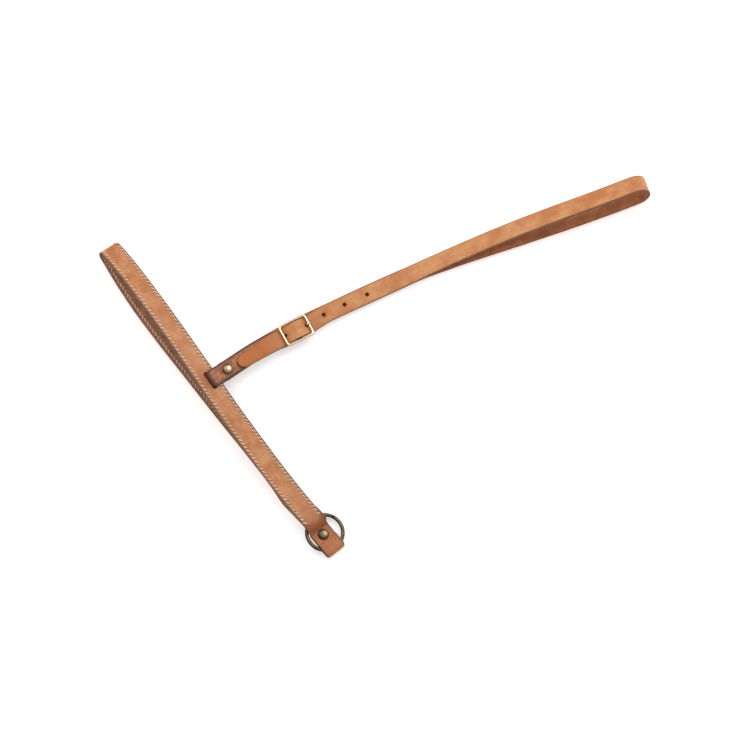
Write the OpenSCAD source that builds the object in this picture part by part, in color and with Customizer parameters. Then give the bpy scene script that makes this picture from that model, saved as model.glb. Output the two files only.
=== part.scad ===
// Standing-martingale noseband with its headstall strap, laid down flat as it is stored.
// Two-ply stitched noseband folded at the nose, both ends on one ring; a near hanger with a
// centre-bar buckle; one crown strap that runs round the poll and back to the off side.
// Millimetres. +Y along the noseband from the ring to the nose, +X out along the crown, +Z up.

/* [Noseband] */
// Width of the noseband
noseband_w = 19; // [17:0.5:19.5]
// Thickness of the outer ply
outer_t = 2.0; // [1.8:0.1:2.2]
// Thickness of the lining ply
lining_t = 1.8; // [1.4:0.1:1.8]
// Distance of each stitch row from the strap's edge
row_inset = 2.2; // [1.8:0.1:3]
// Width of the sewing thread
thread_w = 0.8; // [0.6:0.1:1]

/* [Crown and hangers] */
// Width of the crown strap and of both hangers
crown_w = 15.6; // [13:0.2:15.8]
// Thickness of the crown strap
crown_t = 2.4; // [2:0.1:2.5]
// Thickness of the near hanger
hanger_t = 2.2; // [1.8:0.1:2.2]
// Diameter of the punched holes
hole_d = 4.0; // [3.6:0.1:4.4]

/* [Ring] */
// Outside diameter of the ring
ring_od = 34.5; // [34:0.1:34.6]
// Thickness of the ring's wire
ring_wire = 3.2; // [2.8:0.1:3.2]

/* [Buckle] */
// Length of the buckle frame along the strap
buckle_l = 27.2; // [26.8:0.1:27.6]
// Width of the buckle frame across the strap
buckle_w = 20.7; // [20.5:0.1:22]
// Thickness of the buckle's bars
bar_d = 2.3; // [2:0.1:2.3]

/* [Rivets] */
// Diameter of the domed cap on the ring end's rivet
ring_cap_d = 9.6; // [8:0.1:9.6]
// Diameter of the domed caps on the hanger rivets
hanger_cap_d = 8.8; // [8:0.1:8.8]
// Height of a domed cap
cap_h = 1.5; // [1.2:0.1:1.5]

/* [Hidden] */
$fn = 48;

// leather colours, sewn and worn
russet = [0.78, 0.54, 0.38];
crown_tan = [0.80, 0.56, 0.38];
lining_tan = [0.65, 0.45, 0.35];
worn_brown = [0.52, 0.36, 0.27];
old_brass = [0.42, 0.35, 0.24];

// the middle of the whole object's plan and the ground, seen from the nose fold's middle
plan_mid = [193.8, -167.1, 0];

// ring end: place, lean and turn of the flat stack that holds the ring
ring_at = [-1.2, -313.5, 5.1];
ring_turn = [2, 5, 3];
wire_r = ring_wire / 2;
ring_r = ring_od / 2 - wire_r;
wrap_r = wire_r + 0.2;
near_end_x = -2.5;
off_end_x = -0.3;
off_slant = 0.08;
near_rivet_y = -0.8;
off_rivet_y = 29;
lap_gap = 0.1;
thread_proud = 0.25;
far_arc_y = -16.2;
near_arc_y = 11.7;
lining_end_near = 10;
lining_end_off = 20;

// rivet shanks
tube_r = 1.7;
pin_r = 1.15;
rivet_bore_r = 1.75;
post_base_r = 4;
post_base_t = 0.8;

// slots that the hangers go through, across the strap from its middle line
slot_y = -150;
off_slot_y = -147.5;
slot_from = -0.2;
slot_to = 3.0;
slot_l = crown_w + 1;
pinch_r = 1.8;
seam = 0.3;

// buckle: its middle, and how it leans down the strap and turns with it
buckle_at = [83.9, -156.6, 9.6];
buckle_turn = [0, 6, -8];
bar_r = bar_d / 2;
rail_up = 2.0;
centre_bar_up = -1.0;
corner_r = 2.6;
half_l = buckle_l / 2 - bar_r;
half_w = buckle_w / 2 - bar_r;
tongue_r = 0.75;
tongue_hole_u = 9.8;
inner_hole_u = -9.6;

// ---- turning and joining points ----
function unit(v) = v / norm(v);
function about_x(p, a) = [p[0], p[1] * cos(a) - p[2] * sin(a), p[1] * sin(a) + p[2] * cos(a)];
function about_y(p, a) = [p[0] * cos(a) + p[2] * sin(a), p[1], p[2] * cos(a) - p[0] * sin(a)];
function about_z(p, a) = [p[0] * cos(a) - p[1] * sin(a), p[0] * sin(a) + p[1] * cos(a), p[2]];
function turned(p, r) = about_z(about_y(about_x(p, r[0]), r[1]), r[2]);
function arc(c, r, from, to, steps) =
    [for (i = [0:steps]) let (a = from + (to - from) * i / steps) c + r * [cos(a), sin(a)]];

// A strap's path is a list of rows: [x, y, z, roll, heading, width factor, thickness factor].
// Roll lifts the edge on the left of the heading; a heading of 0 runs along +Y.
function row(p, roll = 0, heading = 0, wide = 1, thick = 1) =
    [p[0], p[1], p[2], roll, heading, wide, thick];
function place(r) = [r[0], r[1], r[2]];
function lead(rows, i) = unit(place(rows[min(i + 1, len(rows) - 1)]) - place(rows[max(i - 1, 0)]));
function eased(t) = t * t * (3 - 2 * t);
function between(a, b, ua, ub, t) = let (
        gap = norm(place(b) - place(a)),
        e = eased(t),
        p = place(a) * (1 - e) + place(b) * e
            + ua * gap * t * (1 - t) * (1 - t) - ub * gap * t * t * (1 - t),
        rest = a * (1 - t) + b * t
    ) [p[0], p[1], p[2], rest[3], rest[4], rest[5], rest[6]];
function smooth(rows, n) = concat(
    [for (i = [0:len(rows) - 2]) for (k = [0:n - 1])
        between(rows[i], rows[i + 1], lead(rows, i), lead(rows, i + 1), k / n)],
    [rows[len(rows) - 1]]);

// across and outward directions of the strap at row i
function across(rows, i) = let (
        t = lead(rows, i),
        w = about_z([cos(rows[i][3]), 0, -sin(rows[i][3])], rows[i][4])
    ) unit(w - (w * t) * t);
function outward(rows, i) = cross(across(rows, i), lead(rows, i));

// solid strip along a path, from row first to row last: from u0 to u1 across it, and from
// n0 to n1 through its thickness
module strip(rows, u0, u1, n0, n1, first = 0, last = -1) {
    end = last < 0 ? len(rows) - 1 : last;
    points = [for (i = [first:end]) let (
            p = place(rows[i]),
            w = across(rows, i),
            n = outward(rows, i),
            f = rows[i][5],
            g = rows[i][6]
        ) for (c = [[u0, n0], [u1, n0], [u1, n1], [u0, n1]]) p + w * c[0] * f + n * c[1] * g];
    top = len(points) - 4;
    sides = [for (a = [0:top - 1]) let (k = a % 4, b = k == 3 ? a - 3 : a + 1)
        each k == 2 ? [[a, b, a + 4], [b, b + 4, a + 4]] : [[a, b, b + 4], [a, b + 4, a + 4]]];
    polyhedron(points, concat([[3, 2, 1, 0]], sides, [[top, top + 1, top + 2, top + 3]]));
}

module strap(rows, w, n0, n1) strip(rows, -w / 2, w / 2, n0, n1);

module placed() translate(-plan_mid) children();
module at_ring() translate(ring_at) rotate(ring_turn) children();
module at_buckle() translate(buckle_at) rotate(buckle_turn) children();

// ---- noseband path: the glue line between its two plies ----
function ring_rows(x, pairs) =
    [for (p = pairs) row(ring_at + turned([x, p[0], p[1]], ring_turn), ring_turn[1], ring_turn[2])];
// the off end comes in aslant, so that it is hidden under the near end
function off_x(y) = off_end_x - off_slant * max(0, y - near_arc_y);
function off_rows(pairs) = [for (p = pairs) each ring_rows(off_x(p[0]), [p])];

near_end = ring_rows(near_end_x, concat(
    [[5.4, -lap_gap], [1, -lap_gap], [-5.8, -lap_gap], [-8.6, -wrap_r], [-12, -wrap_r]],
    arc([far_arc_y, 0], wrap_r, -90, -270, 6),
    [[-12, wrap_r], [-8.6, wrap_r], [-5.8, lap_gap], [1, lap_gap], [4.9, lap_gap],
     [7.4, 2.4], [lining_end_near, 5.2], [13.5, 6.4], [20, 6.2], [30, 5.6], [42, 5.4]]));
off_end = off_rows(concat(
    [[42, -wrap_r], [30, -wrap_r], [lining_end_off, -wrap_r], [15, -wrap_r]],
    arc([near_arc_y, 0], wrap_r, -90, -270, 6),
    [[16, wrap_r], [19, wrap_r - 0.2], [22.5, 0.15], [24, 0.15], [29, 0.15], [36, 0.15]]));
nose_bend = [
    row([-2.3, -14, 14.6], 16), row([-2.7, -5.4, 12.5], 16), row([-3.0, -3.6, 11.8], 16),
    row([-3.6, -2.8, 10.4], 16), row([-4.2, -3.6, 9.0], 16), row([-4.6, -5.4, 8.3], 16),
    row([-5.2, -14, 6.6], 16)];
near_side = [near_end[len(near_end) - 1],
    row([-5.7, -250, 11.6], 4, 1), row([-5.9, -215, 14.2], 5, -1), row([-5.6, -175, 18.2], 9, -1),
    row([-4.4, -135, 22.1], 14, -1), row([-3.2, -95, 24.2], 16), row([-2.5, -62, 23.3], 16),
    row([-2.2, -32, 19.6], 16)];
off_side = [row([-7.0, -32, 5.3], 16), row([-8.6, -62, 5.2], 16), row([-8.8, -95, 6.4], 16),
    row([-8.0, -135, 6.9], 14), row([-7.0, -175, 6.2], 9), row([-5.5, -215, 4.6], 5),
    row([-4.9, -250, 3.9], 4, 1), off_end[0]];
function body_rows() = smooth(concat(near_side, nose_bend, off_side), 4);
function without_ends(rows) = [for (i = [1:len(rows) - 2]) rows[i]];
noseband_path = concat(near_end, without_ends(body_rows()), off_end);

// how many rows of the two ends lie past the lining
near_bare = 18;
off_bare = 14;
last_lined = len(noseband_path) - 1 - off_bare;
module lined_strip(u0, u1, n0, n1) strip(noseband_path, u0, u1, n0, n1, near_bare, last_lined);

// the strap's place and lean where a hanger goes through it
near_slot_at = [-4.85, slot_y, 20.65];
off_slot_at = [-7.72, off_slot_y, 6.83];
near_slot_turn = [5.6, 12.1, 0];
off_slot_turn = [1, 12.1, 0];

module slot_cut(at, turn) translate(at) rotate(turn)
    translate([slot_from, -slot_l / 2, -5]) cube([slot_to - slot_from, slot_l, 10]);

module ring_rivet_hole(x, y) at_ring() translate([x, y, -8]) cylinder(r = rivet_bore_r, h = 11);

module noseband_outer() color(russet) placed() difference() {
    strap(noseband_path, noseband_w, 0, outer_t);
    slot_cut(near_slot_at, near_slot_turn);
    slot_cut(off_slot_at, off_slot_turn);
    ring_rivet_hole(near_end_x, near_rivet_y);
    ring_rivet_hole(off_x(off_rivet_y), off_rivet_y);
}

module noseband_lining() color(lining_tan) placed() difference() {
    lined_strip(-noseband_w / 2, noseband_w / 2, -lining_t, 0);
    slot_cut(near_slot_at, near_slot_turn);
    slot_cut(off_slot_at, off_slot_turn);
    ring_rivet_hole(off_x(off_rivet_y), off_rivet_y);
}

module thread_line(u) color("wheat") placed()
    lined_strip(u - thread_w / 2, u + thread_w / 2, outer_t, outer_t + thread_proud);
module stitch_thread_left() thread_line(row_inset - noseband_w / 2);
module stitch_thread_right() thread_line(noseband_w / 2 - row_inset);

// ---- ring ----
module tie_ring() color(old_brass) placed() at_ring()
    rotate_extrude($fn = 96) translate([ring_r, 0]) circle(r = wire_r);

// ---- rivets: a domed cap with a tube, and a post with a flat base, pressed together ----
// z = 0 is the leather's outer face, the stack lies below it
module rivet_cap(d, stack) {
    r = d / 2;
    dome_r = (r * r + cap_h * cap_h) / (2 * cap_h);
    difference() {
        union() {
            intersection() {
                translate([0, 0, cap_h - dome_r]) sphere(r = dome_r, $fn = 96);
                cylinder(r = r, h = cap_h);
            }
            translate([0, 0, 0.2 - stack]) cylinder(r = tube_r, h = stack);
        }
        translate([0, 0, -stack]) cylinder(r = pin_r + 0.05, h = stack - 0.3);
    }
}
module rivet_post(stack) {
    translate([0, 0, -stack - post_base_t]) cylinder(r = post_base_r, h = post_base_t);
    translate([0, 0, -stack]) cylinder(r = pin_r, h = stack - 0.5);
}

near_ring_stack = 2 * (outer_t + lap_gap);
off_ring_stack = wrap_r + outer_t + 0.15 + outer_t;
module at_near_ring_rivet() at_ring() translate([near_end_x, near_rivet_y, outer_t + lap_gap]) children();
module at_off_ring_rivet() at_ring() translate([off_x(off_rivet_y), off_rivet_y, -wrap_r - outer_t])
    rotate([180, 0, 0]) children();
module near_ring_rivet_cap() color(old_brass) placed() at_near_ring_rivet()
    rivet_cap(ring_cap_d, near_ring_stack);
module near_ring_rivet_post() color(old_brass) placed() at_near_ring_rivet()
    rivet_post(near_ring_stack);
module off_ring_rivet_cap() color(old_brass) placed() at_off_ring_rivet()
    rivet_cap(ring_cap_d, off_ring_stack);
module off_ring_rivet_post() color(old_brass) placed() at_off_ring_rivet()
    rivet_post(off_ring_stack);

// ---- hangers where they go round the noseband: middle line of the leather, x and height ----
function slot_point(at, turn, p) = at + turned([p[0], 0, p[1]], turn);
function strap_rows(points, heading = -90, roll = 0) = [for (p = points) row(p, roll, heading)];
near_under = -lining_t - hanger_t / 2 - 0.2;
near_over = outer_t + hanger_t / 2 + 0.5;
wrap_end = 10.4;
pinch_u = 1.3 + pinch_r;
near_wrap_turn = concat([[wrap_end, near_under]],
    arc([pinch_u, near_under + pinch_r], pinch_r, -90, -180, 3),
    arc([pinch_u, near_over - pinch_r], pinch_r, 180, 90, 3), [[wrap_end, near_over]]);
near_pitch = near_slot_turn[0];
near_wrap_path = strap_rows([for (p = near_wrap_turn) slot_point(near_slot_at, near_slot_turn, p)],
    -90, near_pitch);

module near_hanger_wrap() color(worn_brown) placed()
    strap(near_wrap_path, crown_w, -hanger_t / 2, hanger_t / 2);

// past the hinge line at the noseband's edge
near_rivet_at = [14.8, slot_y, 15.6];
near_rivet_turn = [3.5, 4, 0];
ply_gap = 0.15;
ply_step = hanger_t + ply_gap;
function hinge_rows(m) = [for (u = [wrap_end + seam, wrap_end + seam + 0.5])
    row(slot_point(near_slot_at, near_slot_turn, [u, m]), near_pitch, -90)];
function on_hanger(x, z) = [x, slot_y - 0.02 * max(x - 14, 0), z];
function hanger_row(x, z, plies) = row(on_hanger(x, z + plies * ply_step),
    max(0, near_pitch * (1 - (x - 6) / 24)), -90);
flap_path = smooth(concat(hinge_rows(near_over), [hanger_row(10.2, 16.3, 1), hanger_row(14.8, 15.6, 1),
    hanger_row(19, 15.25, 1), hanger_row(21.8, 15.0, 1)]), 3);
module near_hanger_flap() color(worn_brown) placed() difference() {
    strap(flap_path, crown_w, -hanger_t / 2, hanger_t / 2);
    at_near_rivet() translate([0, 0, -12]) cylinder(r = rivet_bore_r, h = 24);
}

// near hanger: from the noseband's edge to the centre bar, round it and back below itself
function at_bar(p) = buckle_at + turned([p[0], 0, p[1]], buckle_turn);
billet_at_rail = -1.1;
hanger_at_rail = billet_at_rail - crown_t / 2 - hanger_t / 2 - 0.1;
skive = 0.6;
bar_wrap_r = bar_r + 0.1 + skive * hanger_t / 2;
hanger_turn = buckle_turn[2] - 90;
function bar_row(u, w, thick = 1) = row(at_bar([u, w]), 0, hanger_turn, 1, thick);
hanger_top = concat(hinge_rows(near_under), [hanger_row(10.2, 15.9, 0), hanger_row(14.8, 15.6, 0),
    hanger_row(19, 15.25, 0), hanger_row(26, 14.4, 0), row([48, -150.7, 11.4], 0, -94),
    row([62, -152.4, 9.0], 0, -101), bar_row(-half_l, hanger_at_rail),
    bar_row(-6.4, -1.4, 0.8), bar_row(-2.4, centre_bar_up + bar_wrap_r - 0.35, skive)]);
bar_bend = [for (a = [90:-30:-90]) bar_row(bar_wrap_r * cos(a),
    centre_bar_up + bar_wrap_r * sin(a), skive)];
hanger_tail = [bar_row(-3.2, centre_bar_up - bar_wrap_r - 0.3, skive),
    bar_row(-half_l, hanger_at_rail - ply_step), row([62, -152.4, 9.0 - ply_step], 0, -101),
    row([48, -150.7, 11.4 - ply_step], 0, -94), hanger_row(26, 14.4, -1), hanger_row(19, 15.25, -1),
    hanger_row(14.8, 15.6, -1), hanger_row(10.2, 15.9, -1)];
hanger_path = concat(smooth(hanger_top, 3), bar_bend, smooth(hanger_tail, 3));

module at_near_rivet() translate(near_rivet_at) rotate(near_rivet_turn) children();
module near_hanger_strap() color(worn_brown) placed() difference() {
    strap(hanger_path, crown_w, -hanger_t / 2, hanger_t / 2);
    at_near_rivet() translate([0, 0, -12]) cylinder(r = rivet_bore_r, h = 20);
    at_buckle() translate([-4.2, -1.6, -4.6]) cube([9, 3.2, 8]);
}

near_hanger_stack = 3 * hanger_t + 2 * ply_gap + 0.4;
module at_near_cap() at_near_rivet() translate([0, 0, near_hanger_stack / 2]) children();
module near_hanger_rivet_cap() color(old_brass) placed() at_near_cap()
    rivet_cap(hanger_cap_d, near_hanger_stack);
module near_hanger_rivet_post() color(old_brass) placed() at_near_cap()
    rivet_post(near_hanger_stack);

// ---- off hanger: the crown strap's own end, turned up through the off side's slot ----
off_rivet_at = [10.6, off_slot_y, 2.9];
off_under = -outer_t - crown_t / 2 - 0.5;
off_over = lining_t + crown_t / 2 + 0.3;
off_lap = crown_t + 0.15;
off_turn = concat([[9.3, off_under]],
    arc([pinch_u, off_under + pinch_r], pinch_r, -90, -180, 3),
    arc([pinch_u, off_over - pinch_r], pinch_r, 180, 90, 3), [[9.3, off_over]]);
off_seam_x = 17;
off_wrap_path = strap_rows(concat(
    [[off_seam_x, off_slot_y, off_rivet_at[2]], off_rivet_at, [6, off_slot_y, off_rivet_at[2]],
     [3.7, off_slot_y, 2.2]],
    [for (p = off_turn) slot_point(off_slot_at, off_slot_turn, p)],
    [[4.8, off_slot_y, off_rivet_at[2] + off_lap + 1.0], [6.4, off_slot_y, off_rivet_at[2] + off_lap],
     off_rivet_at + [0, 0, off_lap], [16.4, off_slot_y, off_rivet_at[2] + off_lap]]),
    -90, off_slot_turn[0]);
module off_wrap() color(crown_tan) placed() difference() {
    strap(off_wrap_path, crown_w, -crown_t / 2, crown_t / 2);
    translate(off_rivet_at - [0, 0, 3]) cylinder(r = rivet_bore_r, h = 9);
}
off_stack = 2 * crown_t + 0.4;
module at_off_cap() translate(off_rivet_at - [0, 0, crown_t / 2 + 0.15]) rotate([180, 0, 0]) children();
module off_rivet_cap() color(old_brass) placed() at_off_cap() rivet_cap(hanger_cap_d, off_stack);
module off_rivet_post() color(old_brass) placed() at_off_cap() rivet_post(off_stack);

// ---- crown strap: billet, top strand, round the poll, lower strand back to the off side ----
tip_x = 25.4;
tip_r = crown_w / 2;
// the billet is cut narrower towards its tip, and lies along the hanger's lower edge
tip_drop = 2.0;
tip_wide = 0.78;
function billet_row(x, z, narrow = 1) = let (away = x - tip_x) row(
    on_hanger(x, z) - [0, tip_drop + 0.022 * away, 0], 0, -92,
    (tip_wide + 0.12 * max(0, away - tip_r) / 15) * narrow);
billet_tip = [for (a = [75:-15:15]) let (s = sin(a), x = tip_x + tip_r * (1 - s))
    billet_row(x, 16.85 - 0.12 * (x - tip_x), max(cos(a), 0.25))];
poll_mid = [392.65, -231.7, 13.6];
poll_r = 10.5;
poll_turn = -18;
poll_roll = -16.5;
poll_out = about_z([0, -sin(poll_roll), cos(poll_roll)], poll_turn);
poll_lead = about_z([1, 0, 0], poll_turn);
function poll_row(a) = row(poll_mid + poll_r * (poll_out * sin(a) + poll_lead * cos(a)),
    poll_roll, poll_turn - 90);
crown_top = concat([billet_row(48, 14.05), row([62, -153.9, 11.5], 0, -96)],
    [bar_row(-half_l, billet_at_rail), bar_row(-6.5, 1.4), bar_row(0, 3.3), bar_row(6.5, 1.4),
     bar_row(half_l, billet_at_rail)],
    [row([111.7, -159.2, 6.9], 0, -97), row([131.5, -162.6, 6.1], 0, -101),
     row([152.6, -166.8, 5.4], 0, -101), row([170, -170.2, 4.9], -2, -101),
     row([188.3, -174.0, 5.1], -5, -102), row([207, -178.0, 6.6], -11, -103),
     row([230, -183.3, 9.3], -15, -104), row([275, -194.8, 15.8], -16, -105),
     row([319, -207.9, 23.4], -16.5, -106), row([355, -219.0, 26.9], -16.5, -107)]);
crown_low = [row([362.5, -226.6, 3.6], -16.5, -108), row([319, -213.5, 3.5], -16.5, -108),
    row([275, -199.4, 3.5], -16, -107), row([241, -188.4, 3.4], -16, -106),
    row([224, -183.2, 3.3], -14, -105), row([207, -178.0, 2.8], -11, -103),
    row([188, -173.2, 2.0], -5, -102), row([168, -168.8, 1.4], -2, -102),
    row([130, -161.2, 1.3], 0, -101), row([84, -152.8, 1.3], 0, -99),
    row([45, -148.5, 2.0], 0, -93), row([off_seam_x + 5, off_slot_y, off_rivet_at[2]], 1, -90),
    row([off_seam_x + seam, off_slot_y, off_rivet_at[2]], 1, -90)];
crown_path = concat(billet_tip,
    smooth(concat([billet_row(tip_x + tip_r, 15.95)], crown_top, [poll_row(90)]), 3),
    [for (a = [75:-15:-75]) poll_row(a)],
    smooth(concat([poll_row(-90)], crown_low), 3));

// punched holes: [x, y, height, slope down towards the poll]
spare_holes = [[111.7, -159.2, 6.9, 3.2], [131.5, -162.6, 6.1, 2.1], [152.6, -166.8, 5.4, 1.8]];
module punch(h) translate([0, 0, -h / 2]) cylinder(d = hole_d, h = h);
module crown_strap() color(crown_tan) placed() difference() {
    strap(crown_path, crown_w, -crown_t / 2, crown_t / 2);
    for (s = spare_holes) translate([s[0], s[1], s[2]]) rotate([0, s[3], 0]) punch(4);
    at_buckle() translate([tongue_hole_u, 0, 0.4]) punch(6);
    at_buckle() translate([inner_hole_u, 0, -0.2]) punch(4.4);
}

// ---- buckle ----
module rod(a, b, r) {
    d = b - a;
    translate(a) rotate([0, acos(d[2] / norm(d)), atan2(d[1], d[0])]) cylinder(r = r, h = norm(d));
}
module corner(sx, sy) translate([sx * (half_l - corner_r), sy * (half_w - corner_r), rail_up])
    rotate([0, 0, atan2(sy, sx) > 0 ? (sx > 0 ? 0 : 90) : (sx > 0 ? -90 : 180)])
    rotate_extrude(angle = 90) translate([corner_r, 0]) circle(r = bar_r);
module buckle_frame() color("gold") placed() at_buckle() union() {
    for (s = [-1, 1]) {
        rod([s * half_l, corner_r - half_w, rail_up], [s * half_l, half_w - corner_r, rail_up], bar_r);
        rod([corner_r - half_l, s * half_w, rail_up], [half_l - corner_r, s * half_w, rail_up], bar_r);
        rod([0, s * half_w, centre_bar_up], [0, s * half_w, rail_up], bar_r);
        translate([0, s * half_w, centre_bar_up]) sphere(r = bar_r);
        corner(s, 1);
        corner(s, -1);
    }
    rod([0, -half_w, centre_bar_up], [0, half_w, centre_bar_up], bar_r);
}

// the tongue's side view: an eye round the bar, and a shank that comes up through the billet
eye_hole_r = bar_r + 0.08;
eye_r = eye_hole_r + 1.3;
tongue_rest = rail_up + bar_r + tongue_r + 0.05;
tongue_outline = concat(arc([0, centre_bar_up], eye_r, 20, 310, 20),
    [[8.9, -3.3], [10.6, -0.2], [10.7, 3.0], [11.0, tongue_rest - tongue_r],
     [half_l + 1.4, tongue_rest - tongue_r], [half_l + 1.6, tongue_rest],
     [half_l + 0.9, tongue_rest + tongue_r - 0.1], [10.6, tongue_rest + tongue_r], [9.5, 3.6],
     [9.2, 0.2], [7.9, -1.9]]);
module buckle_tongue() color("gold") placed() at_buckle() rotate([90, 0, 0])
    linear_extrude(2 * tongue_r, center = true) difference() {
        polygon(tongue_outline);
        translate([0, centre_bar_up]) circle(r = eye_hole_r);
    }

noseband_outer();
noseband_lining();
stitch_thread_left();
stitch_thread_right();
tie_ring();
near_ring_rivet_cap();
near_ring_rivet_post();
off_ring_rivet_cap();
off_ring_rivet_post();
near_hanger_wrap();
near_hanger_flap();
near_hanger_strap();
near_hanger_rivet_cap();
near_hanger_rivet_post();
off_wrap();
off_rivet_cap();
off_rivet_post();
crown_strap();
buckle_frame();
buckle_tongue();
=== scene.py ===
import math

import bmesh
import bpy
import numpy as np
from mathutils import Euler, Matrix, Vector, noise


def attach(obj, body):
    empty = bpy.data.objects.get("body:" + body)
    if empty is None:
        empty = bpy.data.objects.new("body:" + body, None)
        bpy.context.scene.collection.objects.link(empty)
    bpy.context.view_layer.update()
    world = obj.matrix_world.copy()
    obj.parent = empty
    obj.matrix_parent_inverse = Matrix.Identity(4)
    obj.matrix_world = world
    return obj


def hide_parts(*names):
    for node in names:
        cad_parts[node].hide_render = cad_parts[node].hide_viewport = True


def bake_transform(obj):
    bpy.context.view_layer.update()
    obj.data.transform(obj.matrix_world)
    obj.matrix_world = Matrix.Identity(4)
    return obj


# A standing martingale's noseband with its headstall strap, laid down flat as it is stored.
# Every strap is cut flat, creased, punched and sewn, and is then laid along its own run.
# Sizes are in millimetres up to the point where a mesh is made, and in metres from there on.
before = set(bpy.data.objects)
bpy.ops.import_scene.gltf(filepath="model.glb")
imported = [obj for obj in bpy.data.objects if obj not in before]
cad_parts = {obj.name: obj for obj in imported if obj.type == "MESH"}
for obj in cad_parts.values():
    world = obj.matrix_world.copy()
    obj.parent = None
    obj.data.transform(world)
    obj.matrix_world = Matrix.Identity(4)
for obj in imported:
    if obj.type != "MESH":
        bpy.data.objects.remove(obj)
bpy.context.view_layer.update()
MM = 0.001

# ---- sizes of the leather, thread and brass ----
NOSEBAND_W, OUTER_T, LINING_T, ROW_INSET = 19.0, 2.0, 1.8, 2.2
CROWN_W, CROWN_T, HANGER_T, HOLE_D = 15.6, 2.4, 2.2, 4.0
RING_OD, RING_WIRE = 34.5, 3.2
BUCKLE_L, BUCKLE_W, BAR_D = 27.2, 20.7, 2.3
RING_CAP_D, HANGER_CAP_D, CAP_H = 9.6, 8.8, 1.5
STITCH_PITCH, THREAD_D = 3.8, 1.1
STITCH_SPAN, STITCH_SLANT, STITCH_SUNK = 2.8, 0.5, 0.95
EDGE_ROUND, EDGE_CREASE = 0.4, 1.3
SPARE_HOLE_D, INNER_HOLE_D, HOLE_FLARE = HOLE_D - 0.7, HOLE_D - 1.2, 0.15
WELD_AT = 88

# the middle of the object's plan, seen from the nose fold's middle, where the runs are measured from
PLAN_MID = np.array([193.8, -167.1, 0.0])

WIRE_R = RING_WIRE / 2
RING_R = RING_OD / 2 - WIRE_R
WRAP_R = WIRE_R + 0.2
LAP_GAP = 0.1
RING_AT, RING_TURN = (-1.2, -313.5, 5.1), (2, 5, 3)
NEAR_END_X, NEAR_RIVET_Y, OFF_RIVET_Y = -2.5, -0.8, 29.0
OFF_END_X, OFF_SLANT = -0.3, 0.08
FAR_ARC_Y, NEAR_ARC_Y = -16.2, 11.7
SLOT_Y, OFF_SLOT_Y, SLOT_FROM, SLOT_TO, PINCH_R = -150.0, -147.5, -0.2, 3.0, 1.8
NEAR_SLOT_AT, NEAR_SLOT_TURN = (-4.85, SLOT_Y, 20.65), (5.6, 12.1, 0)
OFF_SLOT_AT, OFF_SLOT_TURN = (-7.72, OFF_SLOT_Y, 6.83), (1, 12.1, 0)
BUCKLE_AT, BUCKLE_TURN = (83.9, -156.6, 9.6), (0, 6, -8)
BAR_R = BAR_D / 2
HALF_L, HALF_W, CORNER_R = BUCKLE_L / 2 - BAR_R, BUCKLE_W / 2 - BAR_R, 2.6
RAIL_UP, CENTRE_BAR_UP = 2.0, -1.0
TONGUE_HOLE_U, INNER_HOLE_U, TONGUE_R = 9.8, -9.6, 0.75
NEAR_RIVET_AT, NEAR_RIVET_TURN = (14.8, SLOT_Y, 15.6), (3.5, 4, 0)
OFF_RIVET_AT = (10.6, OFF_SLOT_Y, 2.9)
PLY_STEP = HANGER_T + 0.15


# ---- turning and joining the rows of a run ----
def turned(p, turn):
    return np.array(Euler([math.radians(a) for a in turn]).to_matrix() @ Vector(p))


def on(at, turn, p):
    return np.array(at) + turned(p, turn)


def unit(v):
    return v / np.linalg.norm(v, axis=-1, keepdims=True)


def row(p, roll=0, heading=0, wide=1, thick=1):
    """One row of a strap's run: its middle point, roll and heading in degrees, and how far the
    strap is narrowed and thinned there."""
    return np.array([*p, roll, heading, wide, thick], float)


def arc(centre, r, start, end, steps):
    angles = [math.radians(start + (end - start) * i / steps) for i in range(steps + 1)]
    return [(centre[0] + r * math.cos(a), centre[1] + r * math.sin(a)) for a in angles]


def smooth(rows, steps):
    """The rows joined by one smooth curve, with this many steps between each two."""
    leads = [unit((rows[min(i + 1, len(rows) - 1)] - rows[max(i - 1, 0)])[:3]) for i in range(len(rows))]
    made = []
    for a, b, lead_a, lead_b in zip(rows, rows[1:], leads, leads[1:]):
        gap = np.linalg.norm((b - a)[:3])
        for t in (k / steps for k in range(steps)):
            eased = t * t * (3 - 2 * t)
            mid = a * (1 - t) + b * t
            mid[:3] = a[:3] * (1 - eased) + b[:3] * eased
            mid[:3] += lead_a * gap * t * (1 - t) ** 2 - lead_b * gap * t * t * (1 - t)
            made.append(mid)
    return made + [rows[-1]]


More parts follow.
